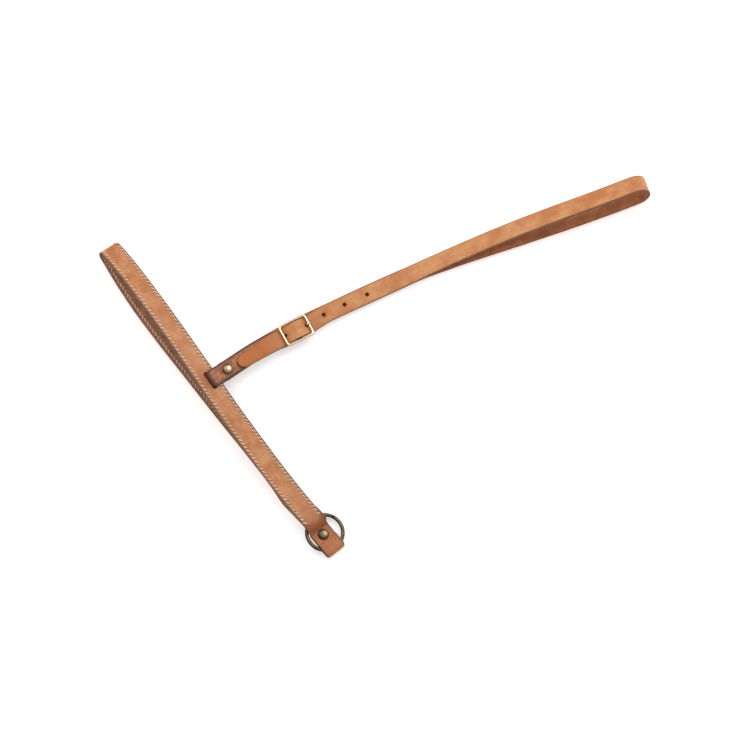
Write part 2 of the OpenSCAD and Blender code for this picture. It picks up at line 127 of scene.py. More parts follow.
class Run:
    """The way a strap lies: its middle line, and its left-hand and outward directions along it."""

    def __init__(self, rows):
        rows = np.array(rows)
        keep = np.append(True, np.linalg.norm(np.diff(rows[:, :3], axis=0), axis=1) > 1e-3)
        rows = rows[keep]
        self.middle = (rows[:, :3] - PLAN_MID) * MM
        after = np.vstack([self.middle[1:], self.middle[-1]])
        before = np.vstack([self.middle[0], self.middle[:-1]])
        lead = unit(after - before)
        roll, heading = np.radians(rows[:, 3]), np.radians(rows[:, 4])
        level = np.cos(roll)
        across = np.stack([level * np.cos(heading), level * np.sin(heading), -np.sin(roll)], 1)
        across = unit(across - np.sum(across * lead, 1, keepdims=True) * lead)
        self.left = -across
        self.out = np.cross(across, lead)
        self.factors = rows[:, 5:7]
        self.length = np.append(0, np.cumsum(np.linalg.norm(np.diff(self.middle, axis=0), axis=1)))

    def at(self, s):
        """Middle point, left-hand direction, outward direction and factors at lengths s."""
        table = np.hstack([self.middle, self.left, self.out, self.factors])
        found = np.stack([np.interp(s, self.length, column) for column in table.T], 1)
        return found[:, :3], unit(found[:, 3:6]), unit(found[:, 6:9]), found[:, 9:]

    def nearest(self, point):
        """How far along the run the place nearest to a point in millimetres is."""
        fine = np.linspace(0, self.length[-1], 8000)
        away = np.linalg.norm(self.at(fine)[0] - (np.array(point) - PLAN_MID) * MM, axis=1)
        return float(fine[away.argmin()])

    def stations(self, step, start=None, end=None):
        """Where the cut strap has rows of points: at each row of the run, and this far apart at most."""
        start = 0 if start is None else start
        end = self.length[-1] if end is None else end
        marks = [start, *[s for s in self.length if start + 2e-4 < s < end - 2e-4], end]
        made = []
        for a, b in zip(marks, marks[1:]):
            count = max(1, math.ceil((b - a) / step))
            made += [a + (b - a) * k / count for k in range(count)]
        return np.array(made + [end])


# ---- the runs ----
def ring_rows(x, pairs, wide=None):
    wide = wide or [1] * len(pairs)
    return [row(on(RING_AT, RING_TURN, (x, y, z)), RING_TURN[1], RING_TURN[2], w)
            for (y, z), w in zip(pairs, wide)]


def off_x(y):
    """The off end comes in aslant, so that it is hidden under the near end."""
    return OFF_END_X - OFF_SLANT * max(0, y - NEAR_ARC_Y)


FOLD_STEPS = 12
LINING_START = (10, 5.2)
LINING_END = (20, -WRAP_R)


def worn_fold(steps, least):
    """How much a fold's worn corners narrow the strap round the fold."""
    return [1 - (1 - least) * math.sin(math.pi * i / steps) ** 2 for i in range(steps + 1)]


near_under_ring = [(5.4, -LAP_GAP), (1, -LAP_GAP), (-5.8, -LAP_GAP), (-8.6, -WRAP_R), (-12, -WRAP_R)]
near_over_ring = [(-12, WRAP_R), (-8.6, WRAP_R), (-5.8, LAP_GAP), (1, LAP_GAP), (4.9, LAP_GAP), (7.4, 2.4),
                  LINING_START, (13.5, 6.4), (20, 6.2), (30, 5.6), (42, 5.4)]
near_end = ring_rows(
    NEAR_END_X, near_under_ring + arc((FAR_ARC_Y, 0), WRAP_R, -90, -270, FOLD_STEPS) + near_over_ring,
    [1] * len(near_under_ring) + worn_fold(FOLD_STEPS, 0.88) + [1] * len(near_over_ring))
off_end = [ring_rows(off_x(p[0]), [p])[0] for p in
           [(42, -WRAP_R), (30, -WRAP_R), LINING_END, (15, -WRAP_R)]
           + arc((NEAR_ARC_Y, 0), WRAP_R, -90, -270, FOLD_STEPS)
           + [(16, WRAP_R), (19, WRAP_R - 0.2), (22.5, 0.15), (24, 0.15), (29, 0.15), (36, 0.15)]]
nose_bend = [row((-2.3, -14, 14.6), 16), row((-2.7, -5.4, 12.5), 16), row((-3.0, -3.6, 11.8), 16),
             row((-3.6, -2.8, 10.4), 16), row((-4.2, -3.6, 9.0), 16), row((-4.6, -5.4, 8.3), 16),
             row((-5.2, -14, 6.6), 16)]
near_side = [row((-5.7, -250, 11.6), 4, 1), row((-5.9, -215, 14.2), 5, -1), row((-5.6, -175, 18.2), 9, -1),
             row((-4.4, -135, 22.1), 14, -1), row((-3.2, -95, 24.2), 16), row((-2.5, -62, 23.3), 16),
             row((-2.2, -32, 19.6), 16)]
off_side = [row((-7.0, -32, 5.3), 16), row((-8.6, -62, 5.2), 16), row((-8.8, -95, 6.4), 16),
            row((-8.0, -135, 6.9), 14), row((-7.0, -175, 6.2), 9), row((-5.5, -215, 4.6), 5),
            row((-4.9, -250, 3.9), 4, 1)]
round_the_nose = smooth([near_end[-1]] + near_side + nose_bend + off_side + [off_end[0]], 8)
noseband_run = Run(near_end + round_the_nose[1:-1] + off_end)


def strap_rows(points, heading=-90, roll=0):
    return [row(p, roll, heading) for p in points]


# near hanger: its tail's end, round the buckle's bar, back under the noseband, up through the slot
NEAR_UNDER = -LINING_T - HANGER_T / 2 - 0.2
NEAR_OVER = OUTER_T + HANGER_T / 2 + 0.5
WRAP_END, PINCH_U = 10.4, 1.3 + PINCH_R
SKIVE = 0.6
BAR_WRAP_R = BAR_R + 0.1 + SKIVE * HANGER_T / 2
BILLET_AT_RAIL = -1.1
HANGER_AT_RAIL = BILLET_AT_RAIL - CROWN_T / 2 - HANGER_T / 2 - 0.1


def slot_wrap(at, turn, under, over, end):
    """The points of a strap that comes in under the noseband, up through its slot and back over it."""
    flat = ([(end, under)] + arc((PINCH_U, under + PINCH_R), PINCH_R, -90, -180, 5)
            + arc((PINCH_U, over - PINCH_R), PINCH_R, 180, 90, 5) + [(end, over)])
    return [on(at, turn, (u, 0, v)) for u, v in flat]


def on_hanger(x, z):
    return (x, SLOT_Y - 0.02 * max(x - 14, 0), z)


def hanger_row(x, z, plies):
    return row(on_hanger(x, z + plies * PLY_STEP), max(0, NEAR_SLOT_TURN[0] * (1 - (x - 6) / 24)), -90)


def bar_row(u, v, thick=1):
    return row(on(BUCKLE_AT, BUCKLE_TURN, (u, 0, v)), 0, BUCKLE_TURN[2] - 90, 1, thick)


near_wrap = strap_rows(slot_wrap(NEAR_SLOT_AT, NEAR_SLOT_TURN, NEAR_UNDER, NEAR_OVER, WRAP_END), -90,
                       NEAR_SLOT_TURN[0])
# its corners are worn round where it comes up out of the slot
for bent, wide in zip(near_wrap[5:13], (0.9, 0.84, 0.8, 0.84, 0.9, 0.95, 0.98, 1)):
    bent[5] = wide
near_flap = [near_wrap[-1]] + [hanger_row(x, z, 1) for x, z in
                               [(10.2, 16.3), (14.8, 15.6), (19, 15.25), (21.8, 15.0)]]
hanger_top = ([near_wrap[0]] + [hanger_row(x, z, 0) for x, z in
                                [(10.2, 15.9), (14.8, 15.6), (19, 15.25), (26, 14.4)]]
              + [row((48, -150.7, 11.4), 0, -94), row((62, -152.4, 9.0), 0, -101),
                 bar_row(-HALF_L, HANGER_AT_RAIL), bar_row(-6.4, -1.4, 0.8),
                 bar_row(-2.4, CENTRE_BAR_UP + BAR_WRAP_R - 0.35, SKIVE)])
bar_bend = [bar_row(BAR_WRAP_R * math.cos(a), CENTRE_BAR_UP + BAR_WRAP_R * math.sin(a), SKIVE)
            for a in np.radians(np.linspace(90, -90, 10))]
hanger_tail = ([bar_row(-3.2, CENTRE_BAR_UP - BAR_WRAP_R - 0.3, SKIVE),
                bar_row(-HALF_L, HANGER_AT_RAIL - PLY_STEP),
                row((62, -152.4, 9.0 - PLY_STEP), 0, -101), row((48, -150.7, 11.4 - PLY_STEP), 0, -94)]
               + [hanger_row(x, z, -1) for x, z in [(26, 14.4), (19, 15.25), (14.8, 15.6), (10.2, 15.9)]])
to_buckle = smooth(hanger_top, 6)[1:] + bar_bend + smooth(hanger_tail, 6)
hanger_run = Run(to_buckle[::-1] + near_wrap + smooth(near_flap, 6)[1:])

# crown strap: the billet's tip, over the buckle, round the poll, back below and round the off side
TIP_X, TIP_R, TIP_DROP, TIP_WIDE = 25.4, CROWN_W / 2, 2.0, 0.78
POLL_MID, POLL_R, POLL_TURN, POLL_ROLL = (392.65, -231.7, 13.6), 10.5, -18, -16.5
OFF_UNDER = -OUTER_T - CROWN_T / 2 - 0.5
OFF_OVER = LINING_T + CROWN_T / 2 + 0.3
OFF_LAP = CROWN_T + 0.15


def billet_row(x, z, narrow=1):
    """The billet is cut narrower towards its tip, and lies along the hanger's lower edge."""
    away = x - TIP_X
    at = np.array(on_hanger(x, z)) - (0, TIP_DROP + 0.022 * away, 0)
    return row(at, 0, -92, (TIP_WIDE + 0.12 * max(0, away - TIP_R) / 15) * narrow)


def billet_tip():
    """The rows of the billet's rounded tip."""
    rows = []
    for a in np.radians([86, 80, 73, 65, 57, 48, 39, 30, 20, 10]):
        x = TIP_X + TIP_R * (1 - math.sin(a))
        rows.append(billet_row(x, 16.85 - 0.12 * (x - TIP_X), math.cos(a)))
    return rows


def poll_row(angle):
    """One row of the bend round the poll, this far round it in degrees."""
    a, roll = math.radians(angle), math.radians(POLL_ROLL)
    out = turned((0, -math.sin(roll), math.cos(roll)), (0, 0, POLL_TURN))
    lead = turned((1, 0, 0), (0, 0, POLL_TURN))
    at = np.array(POLL_MID) + POLL_R * (out * math.sin(a) + lead * math.cos(a))
    return row(at, POLL_ROLL, POLL_TURN - 90)


crown_top = [
    billet_row(TIP_X + TIP_R, 15.95), billet_row(48, 14.05), row((62, -153.9, 11.5), 0, -96),
    bar_row(-HALF_L, BILLET_AT_RAIL), bar_row(-6.5, 1.4), bar_row(0, 3.3), bar_row(6.5, 1.4),
    bar_row(HALF_L, BILLET_AT_RAIL), row((111.7, -159.2, 6.9), 0, -97), row((131.5, -162.6, 6.1), 0, -101),
    row((152.6, -166.8, 5.4), 0, -101), row((170, -170.2, 4.9), -2, -101),
    row((188.3, -174.0, 5.1), -5, -102), row((207, -178.0, 6.6), -11, -103),
    row((230, -183.3, 9.3), -15, -104), row((275, -194.8, 15.8), -16, -105),
    row((319, -207.9, 23.4), -16.5, -106), row((355, -219.0, 26.9), -16.5, -107)]
crown_low = [
    row((362.5, -226.6, 3.6), -16.5, -108), row((319, -213.5, 3.5), -16.5, -108),
    row((275, -199.4, 3.5), -16, -107), row((241, -188.4, 3.4), -16, -106),
    row((224, -183.2, 3.3), -14, -105), row((207, -178.0, 2.8), -11, -103),
    row((188, -173.2, 2.0), -5, -102), row((168, -168.8, 1.4), -2, -102), row((130, -161.2, 1.3), 0, -101),
    row((84, -152.8, 1.3), 0, -99), row((45, -148.5, 2.0), 0, -93), row((22, *OFF_RIVET_AT[1:]), 1, -90),
    row((17.3, *OFF_RIVET_AT[1:]), 1, -90)]
off_lap = [(x, OFF_SLOT_Y, OFF_RIVET_AT[2] + OFF_LAP + up)
           for x, up in ((4.8, 1.0), (6.4, 0), (10.6, 0), (16.4, 0))]
off_wrap = strap_rows([OFF_RIVET_AT, (6, *OFF_RIVET_AT[1:]), (3.7, OFF_SLOT_Y, 2.2)]
                      + slot_wrap(OFF_SLOT_AT, OFF_SLOT_TURN, OFF_UNDER, OFF_OVER, 9.3) + off_lap,
                      -90, OFF_SLOT_TURN[0])
round_the_poll = [poll_row(a) for a in range(75, -90, -15)]
crown_run = Run(billet_tip() + smooth(crown_top + [poll_row(90)], 8) + round_the_poll
                + smooth([poll_row(-90)] + crown_low, 8) + off_wrap)


# ---- bench tools: each works on the piece by the same steps as a hand would ----
def deselect():
    if bpy.context.object and bpy.context.object.mode != "OBJECT":
        bpy.ops.object.mode_set(mode="OBJECT")
    bpy.ops.object.select_all(action="DESELECT")


def hold(piece):
    """Makes the piece the only one selected."""
    deselect()
    piece.select_set(True)
    bpy.context.view_layer.objects.active = piece


def start(name, primitive, **settings):
    """A new piece, from a primitive at its size and place in millimetres."""
    deselect()
    for key in ("size", "radius", "radius1", "radius2", "depth", "major_radius", "minor_radius"):
        if key in settings:
            settings[key] *= MM
    settings["location"] = Vector(settings.get("location", (0, 0, 0))) * MM
    primitive(**settings)
    piece = bpy.context.object
    piece.name = piece.data.name = name
    bpy.ops.object.transform_apply(location=True, rotation=True, scale=True)
    return piece


def edit(piece, kind="FACE"):
    hold(piece)
    bpy.ops.object.mode_set(mode="EDIT")
    bpy.ops.mesh.select_mode(type=kind)
    bpy.ops.mesh.select_all(action="DESELECT")


def pick(piece, test):
    """Selects the faces, or in edge mode the edges, whose middle in mm and direction pass a test."""
    mesh = bmesh.from_edit_mesh(piece.data)
    mesh.normal_update()
    if bpy.context.tool_settings.mesh_select_mode[2]:
        for face in mesh.faces:
            face.select_set(bool(test(face.calc_center_median() / MM, face.normal)))
    else:
        for edge in mesh.edges:
            a, b = (v.co / MM for v in edge.verts)
            edge.select_set(bool(test((a + b) / 2, (b - a).normalized())))
    mesh.select_flush_mode()
    bmesh.update_edit_mesh(piece.data)


def draw_out(x=0, y=0, z=0, scale=None, about=(0, 0, 0)):
    """Extrudes what is selected by so many millimetres, and scales it about a point."""
    bpy.ops.mesh.extrude_region_move(TRANSFORM_OT_translate={"value": (x * MM, y * MM, z * MM)})
    if scale is not None:
        bpy.ops.transform.resize(value=scale, center_override=Vector(about) * MM)


def close_up(piece, gap=0.002):
    """Merges what meets, turns the faces outward and leaves edit mode."""
    bpy.ops.mesh.select_all(action="SELECT")
    bpy.ops.mesh.remove_doubles(threshold=gap * MM)
    bpy.ops.mesh.normals_make_consistent(inside=False)
    bpy.ops.object.mode_set(mode="OBJECT")


def apply_modifier(piece, kind, **settings):
    hold(piece)
    modifier = piece.modifiers.new(kind.lower(), kind)
    for key, value in settings.items():
        setattr(modifier, key, value)
    bpy.ops.object.modifier_apply(modifier=modifier.name)


def cut_away(piece, tool):
    """Cuts a tool's shape out of a strap, and the walls of the cut get the strap's edge finish."""
    for finish in piece.data.materials:
        tool.data.materials.append(finish)
    for face in tool.data.polygons:
        face.material_index = STRAP_EDGE
    apply_modifier(piece, "BOOLEAN", operation="DIFFERENCE", solver="EXACT", object=tool,
                   material_mode="INDEX")
    bpy.data.objects.remove(tool)


def soften(piece, angle=35):
    hold(piece)
    bpy.ops.object.shade_smooth_by_angle(angle=math.radians(angle))


def set_down(piece, at, turn):
    """Puts a finished piece in its place, given in mm and degrees, and bakes the place into its mesh."""
    place = Matrix.Translation((Vector(at) - Vector(PLAN_MID)) * MM)
    piece.data.transform(place @ Euler([math.radians(a) for a in turn]).to_matrix().to_4x4())
    piece.data.update()
    return piece


# ---- materials ----
def linear(hex_colour):
    """An sRGB hex colour as linear red, green and blue, with an alpha of 1."""
    parts = [int(hex_colour[i:i + 2], 16) / 255 for i in (1, 3, 5)]
    return [*[c / 12.92 if c <= 0.04045 else ((c + 0.055) / 1.055) ** 2.4 for c in parts], 1.0]


def add(tree, kind, inputs=(), **settings):
    """One node with its settings, its inputs being values or the sockets that feed them."""
    made = tree.nodes.new(kind)
    for key, value in settings.items():
        setattr(made, key, value)
    for key, value in dict(inputs).items():
        if isinstance(value, bpy.types.NodeSocket):
            tree.links.new(value, made.inputs[key])
        else:
            made.inputs[key].default_value = value
    return made


def surface(name, **sockets):
    """A new material with one Principled shader. Returns it, its tree and the shader."""
    material = bpy.data.materials.new(name)
    material.use_nodes = True
    tree = material.node_tree
    shader = tree.nodes["Principled BSDF"]
    for key, value in sockets.items():
        shader.inputs[key.replace("_", " ")].default_value = value
    return material, tree, shader


MIX_A, MIX_B, MIX_OUT = 6, 7, 2


def tint(tree, amount, below, above):
    """The colour below, mixed with the colour above by an amount."""
    mix = add(tree, "ShaderNodeMix", {0: amount, MIX_A: below, MIX_B: above}, data_type="RGBA")
    return mix.outputs[MIX_OUT]


def places(tree):
    return add(tree, "ShaderNodeTexCoord").outputs["Object"]


def strap_map(tree):
    """The strap's own map: how far along it and how far across it, in metres."""
    return add(tree, "ShaderNodeUVMap", uv_map="along").outputs["UV"]


def clouds(tree, vector, scale, detail, rough=0.5):
    noise_node = add(tree, "ShaderNodeTexNoise",
                     {"Vector": vector, "Scale": scale, "Detail": detail, "Roughness": rough})
    return noise_node.outputs["Fac"]


def spread(tree, value, low, high, to_low=0, to_high=1):
    """A value from low to high, spread evenly over to_low to to_high and cut off there."""
    ranged = add(tree, "ShaderNodeMapRange", {"Value": value, "From Min": low, "From Max": high,
                                              "To Min": to_low, "To Max": to_high})
    return ranged.outputs["Result"]


def sums(tree, operation, *values):
    return add(tree, "ShaderNodeMath", dict(enumerate(values)), operation=operation).outputs[0]


def mark(tree, name):
    """A share from 0 to 1 that a piece carries at each of its points."""
    return add(tree, "ShaderNodeAttribute", attribute_name=name).outputs["Fac"]


def feed(tree, shader, colour, height, strength, depth_mm):
    """Gives the shader its colour, and its relief from a height and the depth of that."""
    tree.links.new(colour, shader.inputs["Base Color"])
    bump = add(tree, "ShaderNodeBump", {"Height": height, "Strength": strength, "Distance": depth_mm * MM})
    tree.links.new(bump.outputs["Normal"], shader.inputs["Normal"])


def leather(name, face, pale, dark, edge, half_w, sides, holes_at=None, gloss=0.46, blotch_mm=14,
            streaky=0.25):
    """Vegetable-tanned strap leather. face, pale and dark are the colours of its dye where it took evenly,
    where the hide was denser, and where it is darker: where hands and oil have darkened it, and as painted
    shade where the piece's own map marks shade. The dye's blotches are blotch_mm across, and streaky is how
    strong its lengthwise streaks are. Its edges, sides mm wide, were dressed and rubbed, which leaves a
    darker, slicker border. holes_at is how far out its rows of awl holes are; each hole gets a dark dot of
    painted shade."""
    material, tree, shader = surface(name, Roughness=gloss, Specular_IOR_Level=0.42)
    where = places(tree)
    strap = strap_map(tree)
    # streaks 2.4 mm apart that run with the strap
    lengthwise = add(tree, "ShaderNodeMapping", {"Vector": strap, "Scale": (60, 420, 1)}).outputs["Vector"]
    blotch = clouds(tree, where, 1 / (blotch_mm * MM), 4, 0.65)
    streak = clouds(tree, lengthwise, 1, 3, 0.55)
    colour = tint(tree, spread(tree, blotch, 0.4, 0.62), linear(face), linear(pale))
    colour = tint(tree, spread(tree, streak, 0.35, 0.75, 0, streaky), colour, linear(dark))
    # oil and hands, and painted shade: the piece's own map of wear and of painted shade, broken up by the
    # dye's blotches
    worn = mark(tree, "worn")
    broken = sums(tree, "MULTIPLY_ADD", worn, 0.55, sums(tree, "MULTIPLY", blotch, worn))
    colour = tint(tree, broken, colour, linear(dark))
    side = add(tree, "ShaderNodeSeparateXYZ", {0: strap})
    wander = sums(tree, "MULTIPLY_ADD", blotch, 1.0 * MM, -0.5 * MM)
    for sign, width in zip((1, -1), sides):
        reach = sums(tree, "MULTIPLY_ADD", side.outputs["Y"], sign, wander)
        band = spread(tree, reach, (half_w - width) * MM, (half_w - width * 0.35) * MM, 0, 0.8)
        colour = tint(tree, band, colour, linear(edge))
    if holes_at:
        # painted shade: a dark dot in each awl hole, one for each stitch, for the shade inside it
        u = sums(tree, "PINGPONG", side.outputs["X"], STITCH_PITCH * MM / 2)
        v = sums(tree, "SUBTRACT", sums(tree, "ABSOLUTE", side.outputs["Y"]), holes_at * MM)
        spot_at = add(tree, "ShaderNodeCombineXYZ", {"X": u, "Y": v}).outputs[0]
        away = add(tree, "ShaderNodeVectorMath", {0: spot_at}, operation="LENGTH").outputs["Value"]
        hole = sums(tree, "MULTIPLY", spread(tree, away, 0.75 * MM, 0.5 * MM), mark(tree, "sewn"))
        colour = tint(tree, hole, colour, linear("#3A1A0C"))
    # the grain: pores 0.55 mm apart, on a coarser unevenness
    pores = add(tree, "ShaderNodeTexVoronoi", {"Vector": where, "Scale": 1 / (0.55 * MM)},
                feature="SMOOTH_F1")
    uneven = clouds(tree, where, 1 / (2.2 * MM), 4)
    grain = sums(tree, "MULTIPLY_ADD", uneven, 1.6, pores.outputs["Distance"])
    feed(tree, shader, colour, grain, 0.55, 0.06)
    tree.links.new(spread(tree, blotch, 0.3, 0.7, gloss - 0.07, gloss + 0.1), shader.inputs["Roughness"])
    return material


def flesh_side(name, face, dark):
    """The hide's flesh side, shaved and slicked down: a matt, fibrous nap, darker in patches."""
    material, tree, shader = surface(name, Roughness=0.78, Specular_IOR_Level=0.25)
    lengthwise = add(tree, "ShaderNodeMapping", {"Vector": strap_map(tree), "Scale": (260, 900, 1)})
    fibre = clouds(tree, lengthwise.outputs["Vector"], 1, 5, 0.65)
    blotch = clouds(tree, places(tree), 1 / (9 * MM), 3)
    amount = spread(tree, sums(tree, "ADD", fibre, blotch), 0.75, 1.25)
    feed(tree, shader, tint(tree, amount, linear(dark), linear(face)), fibre, 0.6, 0.12)
    return material


def dressed_edge(name, face, dark):
    """A cut edge, stained and rubbed with a bone: slick, and uneven in tone."""
    material, tree, shader = surface(name, Roughness=0.55, Specular_IOR_Level=0.3)
    blotch = clouds(tree, places(tree), 1 / (5 * MM), 5, 0.7)
    amount = spread(tree, blotch, 0.38, 0.64)
    feed(tree, shader, tint(tree, amount, linear(dark), linear(face)), blotch, 0.4, 0.15)
    return material


def waxed_thread():
    """Waxed linen thread, laid from several strands: soft cream, with the lay's slanting furrows, which are
    painted darker as painted shade.
    """
    material, tree, shader = surface("waxed_linen_thread", Roughness=0.55, Sheen_Weight=0.25)
    # the strands cross the thread every 0.7 mm
    lay_of = add(tree, "ShaderNodeTexWave",
                 {"Vector": strap_map(tree), "Scale": 1 / (0.7 * MM) / 4, "Distortion": 0.4},
                 bands_direction="DIAGONAL").outputs["Fac"]
    soil = spread(tree, clouds(tree, places(tree), 1 / (7 * MM), 4), 0.35, 0.7)
    clean = tint(tree, soil, linear("#FFDFBE"), linear("#E8B890"))
    # painted shade: a darker colour in the lay's furrows
    furrow_shade = spread(tree, lay_of, 0, 0.4, 0.45, 0)
    feed(tree, shader, tint(tree, furrow_shade, clean, linear("#C08A62")), lay_of, 0.7, 0.12)
    return material


def brass(name, face, tarnish_and_shade, patina, rough, blotch_mm, scratch=0.03, rub_and_painted_light=False):
    """Cast or drawn brass. Its tarnish colour is that of its patina, which lies on patina of the surface, in
    patches about blotch_mm across; the rest is bright. A piece with a light map also takes the tarnish
    colour as painted shade, and keeps its bright colour as a painted highlight where its own map says so,
    laid out like the rubbing of old brass."""
    material, tree, shader = surface(name, Metallic=1.0, Roughness=rough)
    where = places(tree)
    cloud = clouds(tree, where, 1 / (blotch_mm * MM), 5, 0.65)
    low = 0.72 - 0.42 * patina
    colour = tint(tree, spread(tree, cloud, low, low + 0.16), linear(face), linear(tarnish_and_shade))
    # painted shade and painted highlight: the tarnish colour where the piece's map is low, its bright colour
    # where the map is high
    if rub_and_painted_light:
        colour = tint(tree, mark(tree, "worn"), linear(tarnish_and_shade), colour)
    dull = spread(tree, cloud, low, low + 0.2, rough, rough + 0.2)
    tree.links.new(dull, shader.inputs["Roughness"])
    feed(tree, shader, colour, clouds(tree, where, 1 / (0.9 * MM), 4), 0.5, scratch)
    return material


PAPER_GLOW = 0.42


def floor_paper():
    """A matt white paper sweep, with its fine fibre."""
    material, tree, shader = surface("matt_white_paper", Roughness=0.9, Specular_IOR_Level=0.1,
                                     Emission_Color=(1, 1, 1, 1), Emission_Strength=PAPER_GLOW)
    fibre = clouds(tree, places(tree), 1 / (6 * MM), 2)
    tree.links.new(tint(tree, fibre, linear("#F6F6F6"), linear("#F9F9F9")), shader.inputs["Base Color"])
    return material


russet = leather("russet_harness_leather", "#BF7644", "#D49667", "#96502A", "#70493A", NOSEBAND_W / 2,
                 (1.1, 2.4), NOSEBAND_W / 2 - ROW_INSET)
russet_inside = flesh_side("lining_leather_flesh_side", "#B88468", "#8E6450")
russet_edge = dressed_edge("noseband_dressed_edge", "#8A6350", "#4C3226")
latigo = leather("tan_latigo_leather", "#C57C4A", "#DA9A64", "#BA6424", "#84532F", CROWN_W / 2, (0.9, 1.1))
latigo_inside = flesh_side("latigo_flesh_side", "#C5845A", "#9A6340")
latigo_edge = dressed_edge("latigo_dressed_edge", "#8A5A3C", "#583822")
old_strap = leather("worn_hanger_leather", "#9C5A38", "#CC8C56", "#663528", "#342018", CROWN_W / 2,
                    (1.9, 1.9), gloss=0.4, blotch_mm=6, streaky=0.4)
old_edge = dressed_edge("worn_hanger_edge", "#5A4032", "#35241C")
thread = waxed_thread()
# these four brasses take their tarnish colour as painted shade on sides and rims, and their face colour as a
# painted highlight
aged_brass = brass("antiqued_brass", "#867858", "#30281E", 0.62, 0.36, 2.0, 0.05, rub_and_painted_light=True)
cap_brass = brass("antiqued_brass_cap", "#DCC3A2", "#5E4A34", 0.12, 0.3, 2.2, 0.02, rub_and_painted_light=True)
bronze = brass("dark_bronze_cap", "#9C8662", "#3A3025", 0.25, 0.32, 2.2, 0.02, rub_and_painted_light=True)
bright_brass = brass("polished_cast_brass", "#F8DDBC", "#6E4A2A", 0.0, 0.22, 5, rub_and_painted_light=True)
weld_metal = brass("brazed_joint", "#8A8D92", "#4A4844", 0.5, 0.36, 1.5, 0.1)
STRAP_FACE, STRAP_BACK, STRAP_EDGE = 0, 1, 2


# ---- straps ----
def cut_strap(name, stations, lines, low, high, finishes):
    """A flat strap along +X, with rows at stations in metres and lines at so many mm across, from low to
    high mm in thickness. Its edges are rounded, and its face, back and edge get their finishes."""
    count = len(stations) - 1, len(lines) - 1
    strap = start(name, bpy.ops.mesh.primitive_grid_add, x_subdivisions=count[0], y_subdivisions=count[1],
                  size=1000)
    for v in strap.data.vertices:
        across = lines[round((v.co.y + 0.5) * count[1])]
        v.co = (stations[round((v.co.x + 0.5) * count[0])], across * MM, high * MM)
    edit(strap, "EDGE")
    bpy.ops.mesh.select_all(action="SELECT")
    draw_out(z=low - high)
    bpy.ops.mesh.select_all(action="SELECT")
    bpy.ops.mesh.normals_make_consistent(inside=False)
    bpy.ops.mesh.select_all(action="DESELECT")
    bpy.ops.mesh.edges_select_sharp(sharpness=math.radians(60))
    bpy.ops.mesh.bevel(offset=EDGE_ROUND * MM, segments=3, profile=0.5, affect="EDGES")
    bpy.ops.object.mode_set(mode="OBJECT")
    for finish in finishes:
        strap.data.materials.append(finish)
    for face in strap.data.polygons:
        up = face.normal.z
        face.material_index = STRAP_FACE if up > 0.8 else STRAP_BACK if up < -0.8 else STRAP_EDGE
    return strap


def punch(strap, s, y, d, low, high):
    """A round hole, punched at length s in metres, its rims pressed open by the punch."""
    tool = start("punch", bpy.ops.mesh.primitive_cylinder_add, vertices=28, radius=d / 2,
                 depth=2 * ((high - low) / 2 - HOLE_FLARE), location=(s / MM, y, (low + high) / 2))
    centre = (s / MM, y, 0)
    for way in (1, -1):
        edit(tool)
        pick(tool, lambda at, normal: normal.z * way > 0.9)
        reach = HOLE_FLARE + 0.03
        grow = 1 + 2 * reach / d
        draw_out(z=way * reach, scale=(grow, grow, 1), about=centre)
        draw_out(z=way)
    bpy.ops.object.mode_set(mode="OBJECT")
    cut_away(strap, tool)


def chisel(strap, s, length, y0, y1):
    """A slot through the strap, length mm along it and from y0 to y1 across it, with round corners."""
    tool = start("chisel", bpy.ops.mesh.primitive_cube_add, size=1)
    tool.data.transform(Matrix.Diagonal((length, y1 - y0, 12, 1)))
    edit(tool, "EDGE")
    pick(tool, lambda at, along: abs(along.z) > 0.9)
    bpy.ops.mesh.bevel(offset=0.8 * MM, segments=4, affect="EDGES")
    bpy.ops.object.mode_set(mode="OBJECT")
    tool.data.transform(Matrix.Translation((s, (y0 + y1) / 2 * MM, 0)))
    cut_away(strap, tool)


def finish_flat(strap, press=None, worn=None, sewn=None):
    """Writes the flat strap's own map and its map of wear and painted shade, and presses creases and holes
    into it. Each of these takes the points' length, place across and height in mm."""
    mesh = strap.data
    co = np.zeros(len(mesh.vertices) * 3, np.float32)
    mesh.vertices.foreach_get("co", co)
    flat = co.reshape(-1, 3).astype(float)
    of_loop = np.zeros(len(mesh.loops), np.int32)
    mesh.loops.foreach_get("vertex_index", of_loop)
    for old in list(mesh.uv_layers):
        mesh.uv_layers.remove(old)
    layer = mesh.uv_layers.new(name="along")
    layer.data.foreach_set("uv", flat[of_loop, :2].astype(np.float32).ravel())
    s, y, z = (flat / MM).T
    for name, rule in (("worn", worn), ("sewn", sewn)):
        if rule is not None:
            values = np.clip(rule(s, y, z), 0, 1).astype(np.float32)
            mesh.attributes.new(name, "FLOAT", "POINT").data.foreach_set("value", values)
    if press is not None:
        flat[:, 2] += press(s, y, z) * MM
    mesh.vertices.foreach_set("co", flat.astype(np.float32).ravel())
    mesh.update()


def lay(strap, run):
    """Lays the flat piece along a run."""
    mesh = strap.data
    flat = np.array([v.co for v in mesh.vertices], float)
    middle, left, out, factors = run.at(flat[:, 0])
    co = middle + left * flat[:, 1:2] * factors[:, :1] + out * flat[:, 2:] * factors[:, 1:]
    mesh.vertices.foreach_set("co", co.astype(np.float32).ravel())
    mesh.update()
    hold(strap)
    bpy.ops.object.shade_smooth()
    return strap


def hump(x, width):
    return np.exp(-(x / width) ** 2)


def rolling(s, y, seed, size=16.0):
    """Slow hand-made unevenness, from about -0.5 to 0.5, over patches of so many millimetres."""
    return np.array([noise.noise(Vector((a / size, b / size, seed))) for a, b in zip(s, y)])


